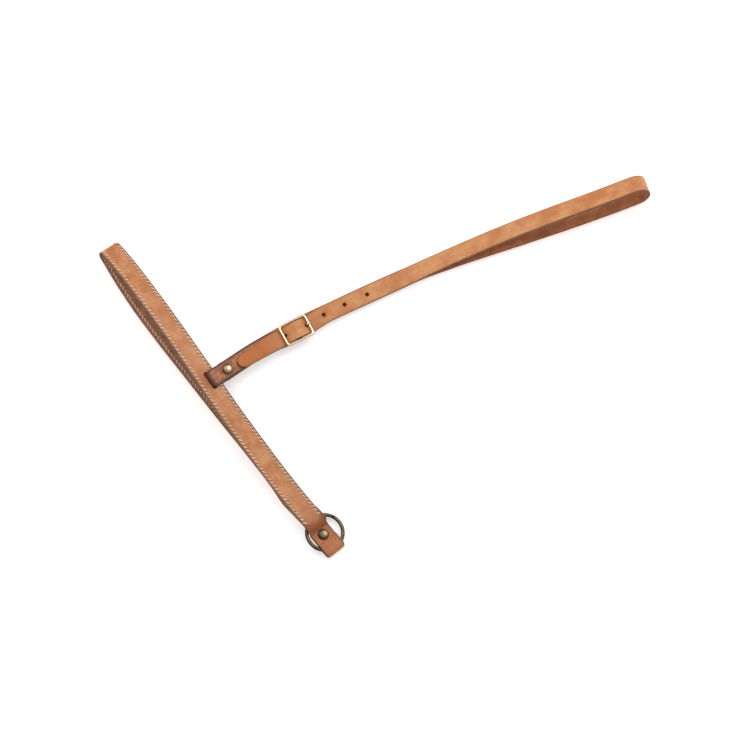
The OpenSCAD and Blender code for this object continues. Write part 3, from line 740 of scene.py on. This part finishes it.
SEWN_FROM = noseband_run.nearest(on(RING_AT, RING_TURN, (NEAR_END_X, *LINING_START)))
SEWN_TO = noseband_run.nearest(on(RING_AT, RING_TURN, (off_x(LINING_END[0]), *LINING_END)))
STITCH_LINE = NOSEBAND_W / 2 - ROW_INSET
STITCHES = int((SEWN_TO - SEWN_FROM - 2 * MM) / (STITCH_PITCH * MM))
FIRST_HOLE = STITCH_PITCH * MM * math.ceil((SEWN_FROM + 1 * MM) / (STITCH_PITCH * MM))
NEAR_SLOT_S = noseband_run.nearest(NEAR_SLOT_AT)
OFF_SLOT_S = noseband_run.nearest(OFF_SLOT_AT)
NEAR_RIVET_S = noseband_run.nearest(on(RING_AT, RING_TURN, (NEAR_END_X, NEAR_RIVET_Y, LAP_GAP)))
GROOVE = [STITCH_LINE - 0.55, STITCH_LINE, STITCH_LINE + 0.55]
NOSEBAND_LINES = sorted([*range(-6, 7, 2), -8.5, 8.5, -NOSEBAND_W / 2, NOSEBAND_W / 2, *GROOVE,
                         *[-g for g in GROOVE]])
FIRST_BEND = noseband_run.nearest((-2.5, -10, 14))
LAST_BEND = noseband_run.nearest((-5.2, -10, 6.6))


def noseband_stations():
    """Rows half a stitch apart where it is sewn, and closer at the folds and creases by the ring."""
    half = STITCH_PITCH * MM / 2
    last = FIRST_HOLE + STITCHES * STITCH_PITCH * MM
    sewn = FIRST_HOLE + half * np.arange(2 * STITCHES + 1)
    before = noseband_run.stations(0.9 * MM, end=FIRST_HOLE)[:-1]
    after = noseband_run.stations(1.2 * MM, start=last)[1:]
    fold = [s for s in noseband_run.length if FIRST_BEND < s < LAST_BEND]
    merged = sorted([*sewn, *[s for s in fold if np.min(np.abs(sewn - s)) > 0.35 * MM]])
    return np.array([*before, *merged, *after])


def sewn_part(s, y, z):
    """1 where the strap is sewn, from just before its first stitch to just after its last."""
    return ((s > FIRST_HOLE / MM - 1) & (s < FIRST_HOLE / MM + STITCHES * STITCH_PITCH + 1)) * 1.0


def awl_line(s, y):
    """1 in an awl hole, less between the holes, where the thread has bedded in."""
    on_line = np.abs(np.abs(y) - STITCH_LINE) < 0.2
    at_hole = np.abs((s / STITCH_PITCH + 0.5) % 1 - 0.5) < 0.2
    return on_line * sewn_part(s, y, 0) * np.where(at_hole, 1.0, 0.45)


CREASES = [(7.6, 0.35), (9.4, 0.5), (11.4, 0.4), (13.6, 0.28)]


def ring_creases(s, y):
    """Crescents across the strap where it bends up from the ring's rivet."""
    away = s - NEAR_RIVET_S / MM
    return sum(depth * hump(away - at - 0.035 * (y + 1) ** 2, 0.55) for at, depth in CREASES)


def outer_press(s, y, z):
    top = z > OUTER_T - 0.5
    edge_round = -0.22 * (np.abs(y) / (NOSEBAND_W / 2)) ** 6
    return top * (edge_round - 0.42 * awl_line(s, y) - 0.5 * ring_creases(s, y) + 0.16 * rolling(s, y, 3.1))


def lining_press(s, y, z):
    under = z < -LINING_T + 0.5
    return under * (0.35 * awl_line(s, y) + 0.12 * rolling(s, y, 8.4))


def outer_worn(s, y, z):
    # painted shadow round the slot, where the hanger goes down into it
    near_slot = hump(s - NEAR_SLOT_S / MM, 9) * hump(y - 1.5, 5) * 0.6
    # painted shade in the creases
    creased = ring_creases(s, y) * 2.2
    oiled = hump(s - NEAR_RIVET_S / MM - 12, 12) * 0.5 + (s < NEAR_RIVET_S / MM + 8) * 0.3
    return near_slot + creased + oiled


def noseband():
    stations = noseband_stations()
    outer = cut_strap("noseband_outer_ply", stations, NOSEBAND_LINES, 0.02, OUTER_T,
                      [russet, russet_inside, russet_edge])
    inside = stations[(stations >= SEWN_FROM - 1e-6) & (stations <= SEWN_TO + 1e-6)]
    inside = np.unique(np.round([SEWN_FROM, *inside, SEWN_TO], 6))
    inside = inside[np.append(True, np.diff(inside) > 0.3 * MM)]
    lining = cut_strap("noseband_lining_ply", inside, NOSEBAND_LINES, -LINING_T, 0,
                       [russet_inside, russet_inside, russet_edge])
    for strap in (outer, lining):
        for s in (NEAR_SLOT_S, OFF_SLOT_S):
            chisel(strap, s, CROWN_W + 0.4, -SLOT_TO, -SLOT_FROM)
    finish_flat(outer, outer_press, outer_worn, sewn_part)
    finish_flat(lining, lining_press)
    for strap, node, slot in ((outer, "noseband_outer", "noseband_leather"),
                              (lining, "noseband_lining", "lining_leather")):
        lay(strap, noseband_run)
        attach(strap, "noseband")
        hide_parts(node)


def stitching():
    """Two rows of saddle stitch. One stitch slants over the outer ply and another lies under the lining."""
    steps = [(0.15, 0.85), (0.4, 0.42), (0.85, 0.1), (0.85, -0.1), (0.4, -0.42), (0.15, -0.85)]
    middle = FIRST_HOLE / MM + STITCH_PITCH / 2
    # a piece's name counts its side from the run's end, and its CAD node's name from the run's start
    for side, node, y in (("left", "stitch_thread_right", -STITCH_LINE),
                          ("right", "stitch_thread_left", STITCH_LINE)):
        rows = []
        for face, up in ((OUTER_T, 1), (-LINING_T, -1)):
            stitch = start("stitch", bpy.ops.mesh.primitive_circle_add, vertices=7, radius=THREAD_D / 2,
                           fill_type="NGON")
            edit(stitch)
            bpy.ops.mesh.select_all(action="SELECT")
            for along, rise in steps:
                draw_out(x=along, y=along * STITCH_SLANT, z=rise)
            close_up(stitch)
            first = (middle - STITCH_SPAN / 2, y - STITCH_SPAN / 2 * STITCH_SLANT, face - STITCH_SUNK * up)
            place = Matrix.Translation(Vector(first) * MM)
            stitch.data.transform(place @ Matrix.Diagonal((1, 1, up, 1)))
            apply_modifier(stitch, "ARRAY", count=STITCHES, use_relative_offset=False,
                           use_constant_offset=True, constant_offset_displace=(STITCH_PITCH * MM, 0, 0))
            rows.append(stitch)
        hold(rows[0])
        rows[1].select_set(True)
        bpy.ops.object.join()
        row_of_stitches = rows[0]
        row_of_stitches.name = row_of_stitches.data.name = f"saddle_stitch_{side}"
        edit(row_of_stitches)
        bpy.ops.mesh.select_all(action="SELECT")
        bpy.ops.mesh.normals_make_consistent(inside=False)
        bpy.ops.object.mode_set(mode="OBJECT")
        row_of_stitches.data.materials.clear()
        row_of_stitches.data.materials.append(thread)
        finish_flat(row_of_stitches)
        lay(row_of_stitches, noseband_run)
        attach(row_of_stitches, "noseband")
        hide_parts(node)


def strap_lines(half_w, crease):
    """Lines across a plain strap, with three for the crease that runs along each edge."""
    by_crease = [half_w - crease - 0.35, half_w - crease, half_w - crease + 0.35]
    return sorted([-half_w, half_w, *by_crease, *[-c for c in by_crease], -4, -2, 0, 2, 4])


SPARE_HOLES = [(111.7, -159.2, 6.9), (131.5, -162.6, 6.1), (152.6, -166.8, 5.4)]


def edge_crease(y, half_w):
    return hump(np.abs(y) - (half_w - EDGE_CREASE), 0.3)


def crown_strap():
    run = crown_run
    t = CROWN_T / 2
    strap = cut_strap("crown_strap_leather", run.stations(3 * MM), strap_lines(CROWN_W / 2, EDGE_CREASE),
                      -t, t, [latigo, latigo_inside, latigo_edge])
    at_buckle = [on(BUCKLE_AT, BUCKLE_TURN, (u, 0, v))
                 for u, v in ((TONGUE_HOLE_U, 0.4), (INNER_HOLE_U, -0.2))]
    holes = [run.nearest(p) for p in [*SPARE_HOLES, *at_buckle]]
    for s in holes[:-1]:
        punch(strap, s, 0, SPARE_HOLE_D, -t, t)
    punch(strap, holes[-1], 0, INNER_HOLE_D, -t, t)
    buckled = run.nearest(on(BUCKLE_AT, BUCKLE_TURN, (0, 0, 3.3))) / MM
    off_turn = run.nearest((OFF_SLOT_AT[0], OFF_SLOT_Y, OFF_SLOT_AT[2] - 3)) / MM

    def press(s, y, z):
        top = np.sign(z) * (np.abs(z) > t - 0.5)
        return -top * 0.16 * edge_crease(y, CROWN_W / 2) * (s < 400) + (top > 0) * 0.14 * rolling(s, y, 5.7)

    def worn(s, y, z):
        around = sum(hump(s - h / MM, 2.6) * hump(y, 2.6) for h in holes)
        billet = np.clip((62 - s) / 36, 0, 1) * 0.85
        rail = hump(s - buckled + 13.5, 3) + hump(s - buckled - 13.5, 3)
        # wear round the holes and along the billet, darker where it passes under the rails, and painted
        # shade where the strap turns down into the off slot
        return 0.5 * around + billet + 0.35 * rail + 0.5 * hump(s - off_turn, 8)

    finish_flat(strap, press, worn)
    lay(strap, run)
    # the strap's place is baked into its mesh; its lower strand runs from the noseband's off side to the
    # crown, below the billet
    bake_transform(strap)
    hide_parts("crown_strap", "off_wrap")


def near_hanger():
    run = hanger_run
    t = HANGER_T / 2
    strap = cut_strap("near_hanger_leather", run.stations(1.6 * MM), strap_lines(CROWN_W / 2, EDGE_CREASE),
                      -t, t, [old_strap, old_strap, old_edge])
    bar_s = run.nearest(on(BUCKLE_AT, BUCKLE_TURN, (BAR_WRAP_R, 0, CENTRE_BAR_UP)))
    chisel(strap, bar_s, 15, -1.7, 1.7)
    slot_s = run.nearest(on(NEAR_SLOT_AT, NEAR_SLOT_TURN, (1.3, 0, 0))) / MM
    flap_end = run.length[-1] / MM

    def press(s, y, z):
        top = np.sign(z) * (np.abs(z) > t - 0.5)
        return top * (0.12 * rolling(s, y, 1.9, 9) - 0.12 * edge_crease(y, CROWN_W / 2))

    def worn(s, y, z):
        # painted shade where the strap turns down into the slot
        corner = hump(s - slot_s - 2.5, 3.2)
        # painted shadow in a ring round the rivet's cap
        rivet = hump(np.hypot(s - flap_end + 8, y) - 5.0, 1.6)
        sides = np.clip(np.abs(y) / (CROWN_W / 2) - 0.62, 0, 1) * 2
        return 1.1 * corner + 0.5 * rivet + sides

    finish_flat(strap, press, worn)
    lay(strap, run)
    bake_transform(strap)
    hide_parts("near_hanger_wrap", "near_hanger_flap", "near_hanger_strap")


# ---- brass ----
def rivet_cap(name, d, stack):
    """A domed cap, drawn up in rings, with a rolled rim and the tube that its post goes into."""
    r, rim = d / 2, 0.35
    cap = start(name, bpy.ops.mesh.primitive_cylinder_add, vertices=48, radius=r, depth=rim,
                location=(0, 0, rim / 2))
    edit(cap)
    pick(cap, lambda at, normal: normal.z > 0.9)
    height, radius = 0, r
    for a in np.radians([12, 24, 36, 48, 60, 72, 82]):
        up, out = (CAP_H - rim) * math.sin(a), r * math.cos(a)
        draw_out(z=up - height, scale=(out / radius, out / radius, 1))
        height, radius = up, out
    draw_out(z=CAP_H - rim - height)
    bpy.ops.mesh.merge(type="CENTER")
    pick(cap, lambda at, normal: normal.z < -0.9)
    tube_r, bore_r = 1.7, 1.2
    draw_out(scale=(tube_r / r, tube_r / r, 1))
    draw_out(z=-stack + 0.2)
    draw_out(scale=(bore_r / tube_r, bore_r / tube_r, 1))
    draw_out(z=stack - 0.5)
    bpy.ops.mesh.select_mode(type="EDGE")
    pick(cap, lambda at, along: (abs(along.z) < 0.1 and abs(at.z) < 0.01
                                 and math.hypot(at.x, at.y) > r * 0.95))
    bpy.ops.mesh.bevel(offset=0.12 * MM, segments=2, affect="EDGES")
    close_up(cap)
    soften(cap, 50)
    return cap


def write_painted_light(piece, rule):
    """Writes how bright a piece is painted at each of its points, from 0 to 1: painted highlight at 1,
    painted shade at 0.
    """
    values = [min(1.0, max(0.0, rule(v))) for v in piece.data.vertices]
    piece.data.attributes.new("worn", "FLOAT", "POINT").data.foreach_set("value", values)


def paint_crown_highlight(cap, r):
    """A cap is painted brightest on its crown, a little to one side, and darkest at its rim: a painted
    highlight fading into painted shade.
    """
    def rule(v):
        x, y, z = v.co / MM
        away = math.hypot(x - 0.12 * r, y + 0.1 * r) / (0.92 * r)
        return 1 - away ** 1.6 if z > 0.3 else 0.0

    write_painted_light(cap, rule)


def paint_top_light(piece, dark, bright, both=False):
    """A piece is painted bright where it faces up or, with both, down as well, and dark on its sides: a
    painted highlight and painted shade. dark and bright are how far up the surface faces where the
    brightening starts and where it is full."""
    def rule(v):
        up = abs(v.normal.z) if both else v.normal.z
        return (up - dark) / (bright - dark)

    write_painted_light(piece, rule)


def rivet_post(name, stack):
    """A post whose flat base was set with a hollow punch: a pressed ring round its middle."""
    base, t = 4.0, 0.8
    post = start(name, bpy.ops.mesh.primitive_cylinder_add, vertices=48, radius=base, depth=t,
                 location=(0, 0, -stack - t / 2))
    edit(post)
    pick(post, lambda at, normal: normal.z > 0.9)
    draw_out(scale=(1.15 / base, 1.15 / base, 1))
    draw_out(z=stack - 0.6)
    edit(post)
    pick(post, lambda at, normal: normal.z < -0.9)
    for shrink, z in ((0.62, 0.0), (0.88, 0.22), (0.8, 0.0), (0.8, -0.18)):
        draw_out(z=z, scale=(shrink, shrink, 1))
    bpy.ops.mesh.select_mode(type="EDGE")
    pick(post, lambda at, along: abs(along.z) < 0.1 and math.hypot(at.x, at.y) > base * 0.95)
    bpy.ops.mesh.bevel(offset=0.22 * MM, segments=3, affect="EDGES")
    close_up(post)
    soften(post, 40)
    return post


def rivets():
    near_ring_stack = 2 * (OUTER_T + LAP_GAP)
    off_ring_stack = WRAP_R + OUTER_T + 0.15 + OUTER_T
    hanger_stack = 3 * HANGER_T + 0.7
    off_stack = 2 * CROWN_T + 0.4
    near_ring_at = on(RING_AT, RING_TURN, (NEAR_END_X, NEAR_RIVET_Y, 0))
    off_ring_at = on(RING_AT, RING_TURN, (off_x(OFF_RIVET_Y), OFF_RIVET_Y, 0))
    finish = {"near_ring_rivet_cap": bronze, "near_hanger_rivet_cap": cap_brass}
    flipped = Matrix.Rotation(math.pi, 4, "X")
    for name, d, stack, at, turn, lift, over, body in (
            ("near_ring_rivet", RING_CAP_D, near_ring_stack, near_ring_at, RING_TURN,
             OUTER_T + LAP_GAP, False, "noseband"),
            ("off_ring_rivet", RING_CAP_D, off_ring_stack, off_ring_at, RING_TURN,
             -WRAP_R - OUTER_T, True, "noseband"),
            ("near_hanger_rivet", HANGER_CAP_D, hanger_stack, NEAR_RIVET_AT, NEAR_RIVET_TURN,
             hanger_stack / 2, False, "crown"),
            ("off_rivet", HANGER_CAP_D, off_stack, OFF_RIVET_AT, (0, 0, 0),
             -CROWN_T / 2 - 0.15, True, "noseband")):
        cap = rivet_cap(name + "_brass_cap", d, stack)
        post = rivet_post(name + "_brass_post", stack)
        # painted highlight on each cap's crown and painted shade at its rim; painted highlight on the posts
        # where they face up or down
        paint_crown_highlight(cap, d / 2)
        paint_top_light(post, 0.6, 1, both=True)
        for part, made in (("cap", cap), ("post", post)):
            if over:
                made.data.transform(flipped)
            made.data.transform(Matrix.Translation((0, 0, lift * MM)))
            set_down(made, at, turn)
            made.data.materials.append(finish.get(f"{name}_{part}", aged_brass))
            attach(made, body)
            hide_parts(f"{name}_{part}")


def tie_ring():
    """A ring bent from wire and closed by a weld, which stands a little proud of the wire."""
    ring = start("tie_ring_brass", bpy.ops.mesh.primitive_torus_add, major_radius=RING_R,
                 minor_radius=WIRE_R, major_segments=120, minor_segments=28)
    edit(ring)
    weld = math.radians(WELD_AT)

    def in_weld(at, width):
        turn = (math.atan2(at.y, at.x) - weld + math.pi) % (2 * math.pi) - math.pi
        return abs(turn) < math.radians(width)

    pick(ring, lambda at, normal: in_weld(at, 7))
    bpy.ops.transform.shrink_fatten(value=0.13 * MM)
    pick(ring, lambda at, normal: in_weld(at, 1.6))
    bpy.ops.transform.shrink_fatten(value=-0.2 * MM)
    close_up(ring)
    # the wire was bent by hand, so that it is not quite even
    for v in ring.data.vertices:
        v.co *= 1 + 0.004 * noise.noise(v.co / (6 * MM))
    ring.data.materials.append(aged_brass)
    ring.data.materials.append(weld_metal)
    for face in ring.data.polygons:
        face.material_index = 1 if in_weld(face.center / MM, 6.5) else 0
    # painted highlight on the top and bottom of the wire, painted shade on its sides
    paint_top_light(ring, 0.55, 1.1, both=True)
    hold(ring)
    bpy.ops.object.shade_smooth()
    set_down(ring, RING_AT, RING_TURN)
    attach(ring, "ring")
    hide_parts("tie_ring")


def bar_section(name, at, face_x):
    """The round end of a bar of the buckle: a circle at a place, facing along X or along Z."""
    tilt = (0, math.pi / 2, 0) if face_x else (0, 0, 0)
    return start(name, bpy.ops.mesh.primitive_circle_add, vertices=20, radius=BAR_R, rotation=tilt,
                 location=at)


def swing(steps, degrees, centre, axis):
    """Spins the selected section about a centre in mm, anticlockwise as seen against the axis. The spin
    tool itself counts the other way."""
    bpy.ops.mesh.spin(steps=steps, angle=-math.radians(degrees), center=Vector(centre) * MM, axis=axis,
                      dupli=False)


def buckle():
    """A cast frame, its front flatter than its back, with a centre bar dropped below it."""
    rail = bar_section("buckle_brass_frame", (0, -HALF_W, RAIL_UP), True)
    edit(rail, "EDGE")
    bpy.ops.mesh.select_all(action="SELECT")
    straight = (HALF_L - CORNER_R, HALF_W - CORNER_R)
    draw_out(x=straight[0])
    corners = [(1, -1), (1, 1), (-1, 1), (-1, -1)]
    along = [(0, 2 * straight[1]), (-2 * straight[0], 0), (0, -2 * straight[1]), (straight[0], 0)]
    for (sx, sy), (dx, dy) in zip(corners, along):
        swing(6, 90, (sx * straight[0], sy * straight[1], RAIL_UP), (0, 0, 1))
        draw_out(x=dx, y=dy)
    close_up(rail, 0.05)
    # the front of the rails was filed and polished flatter
    for v in rail.data.vertices:
        up = v.co.z / MM - RAIL_UP
        v.co.z = (RAIL_UP + (up * 0.86 if up > 0 else up)) * MM
    bar = bar_section("centre_bar", (0, -HALF_W, RAIL_UP), False)
    edit(bar, "EDGE")
    bpy.ops.mesh.select_all(action="SELECT")
    bend = 1.3
    drop = RAIL_UP - CENTRE_BAR_UP - bend
    draw_out(z=-drop)
    swing(6, 90, (0, bend - HALF_W, CENTRE_BAR_UP + bend), (1, 0, 0))
    draw_out(y=2 * (HALF_W - bend))
    swing(6, 90, (0, HALF_W - bend, CENTRE_BAR_UP + bend), (1, 0, 0))
    draw_out(z=drop)
    bpy.ops.mesh.select_all(action="DESELECT")
    bpy.ops.mesh.select_non_manifold()
    bpy.ops.mesh.edge_face_add()
    close_up(bar, 0.05)
    apply_modifier(rail, "BOOLEAN", operation="UNION", solver="EXACT", object=bar)
    bpy.data.objects.remove(bar)
    soften(rail, 35)
    # painted highlight where the frame faces up, painted shade on its sides
    paint_top_light(rail, 0.25, 0.75)
    set_down(rail, BUCKLE_AT, BUCKLE_TURN)
    rail.data.materials.append(bright_brass)
    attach(rail, "buckle")
    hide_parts("buckle_frame")


def tongue():
    """A cast tongue: an eye bent round the bar, and a shank that comes up through the billet."""
    eye = BAR_R + 0.12 + TONGUE_R
    piece = start("buckle_brass_tongue", bpy.ops.mesh.primitive_circle_add, vertices=16, radius=TONGUE_R,
                  fill_type="NGON", location=(eye, 0, 0))
    turn = Matrix.Rotation(math.radians(-20), 4, "Y")
    piece.data.transform(Matrix.Translation((0, 0, CENTRE_BAR_UP * MM)) @ turn)
    edit(piece)
    bpy.ops.mesh.select_all(action="SELECT")
    swing(20, -290, (0, 0, CENTRE_BAR_UP), (0, 1, 0))
    over_rail = RAIL_UP + BAR_R + TONGUE_R + 0.05
    shank = [(8.0, -2.6, 1), (9.6, -0.6, 1), (9.95, 1.5, 1), (10.15, 3.0, 1), (10.9, over_rail - 0.1, 1),
             (HALF_L + 0.4, over_rail, 1), (HALF_L + 1.4, over_rail - 0.2, 0.6)]
    path_to(piece, shank)
    close_up(piece, 0.02)
    soften(piece, 50)
    # painted highlight where the tongue faces up, painted shade on its sides
    paint_top_light(piece, 0.1, 0.7)
    set_down(piece, BUCKLE_AT, BUCKLE_TURN)
    piece.data.materials.append(bright_brass)
    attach(piece, "tongue")
    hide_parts("buckle_tongue")


def path_to(piece, points):
    """Draws the selected section out through points given as x, height and share of the shank's thickness,
    turning it square to its way at each."""
    mesh = bmesh.from_edit_mesh(piece.data)
    ends = [v for v in mesh.verts if v.select]
    middle = sum((v.co for v in ends), Vector()) / len(ends)
    way = next(f.normal for f in mesh.faces if f.select).copy()
    for index, (x, z, share) in enumerate(points):
        to = Vector((x, 0, z)) * MM
        last = index + 1 == len(points)
        ahead = to - middle if last else Vector((points[index + 1][0], 0, points[index + 1][1])) * MM - to
        new_way = ((to - middle).normalized() + ahead.normalized()).normalized()
        bpy.ops.mesh.extrude_region_move(TRANSFORM_OT_translate={"value": to - middle})
        mesh = bmesh.from_edit_mesh(piece.data)
        turn = way.rotation_difference(new_way).to_matrix()
        for v in mesh.verts:
            if v.select:
                v.co = to + turn @ (v.co - to) * (share if last else 1)
        bmesh.update_edit_mesh(piece.data)
        middle, way = to, new_way


# ---- camera, light and floor ----
AIM = Vector((-78.4, -61.5, 10)) * MM
CAMERA_UP, CAMERA_TURN, CAMERA_AWAY = 78.0, -36.5, 12.0
SENSOR, SEEN_WIDTH = 36.0, 0.647
SKY, KEY_POWER, FILL_POWER = 0.55, 10, 8


def camera():
    data = bpy.data.cameras.new("camera")
    data.sensor_width = SENSOR
    data.lens = SENSOR * CAMERA_AWAY / SEEN_WIDTH
    cam = bpy.data.objects.new("camera", data)
    bpy.context.scene.collection.objects.link(cam)
    turn = Euler((math.radians(90 - CAMERA_UP), 0, math.radians(CAMERA_TURN))).to_matrix().to_4x4()
    cam.matrix_world = Matrix.Translation(AIM + turn.to_3x3() @ Vector((0, 0, CAMERA_AWAY))) @ turn
    bpy.context.scene.camera = cam


def lamp(name, at, size, power):
    data = bpy.data.lights.new(name, "AREA")
    data.shape, data.size, data.energy = "DISK", size, power
    made = bpy.data.objects.new(name, data)
    bpy.context.scene.collection.objects.link(made)
    made.location = at
    made.rotation_mode = "QUATERNION"
    made.rotation_quaternion = (AIM - Vector(at)).to_track_quat("-Z", "Y")


def studio():
    world = bpy.data.worlds.new("studio")
    bpy.context.scene.world = world
    world.use_nodes = True
    world.node_tree.nodes["Background"].inputs["Color"].default_value = (1, 1, 1, 1)
    world.node_tree.nodes["Background"].inputs["Strength"].default_value = SKY
    lamp("key", (0.95, 0.1, 1.5), 1.0, KEY_POWER)
    lamp("fill", (-0.3, 1.0, 1.6), 1.3, FILL_POWER)
    bpy.context.scene.view_settings.view_transform = "Standard"
    sweep = start("paper_sweep", bpy.ops.mesh.primitive_grid_add, x_subdivisions=2, y_subdivisions=2,
                  size=60000, location=(0, 0, -0.15))
    sweep.data.materials.append(floor_paper())


camera()
studio()
noseband()
stitching()
crown_strap()
near_hanger()
rivets()
tie_ring()
buckle()
tongue()
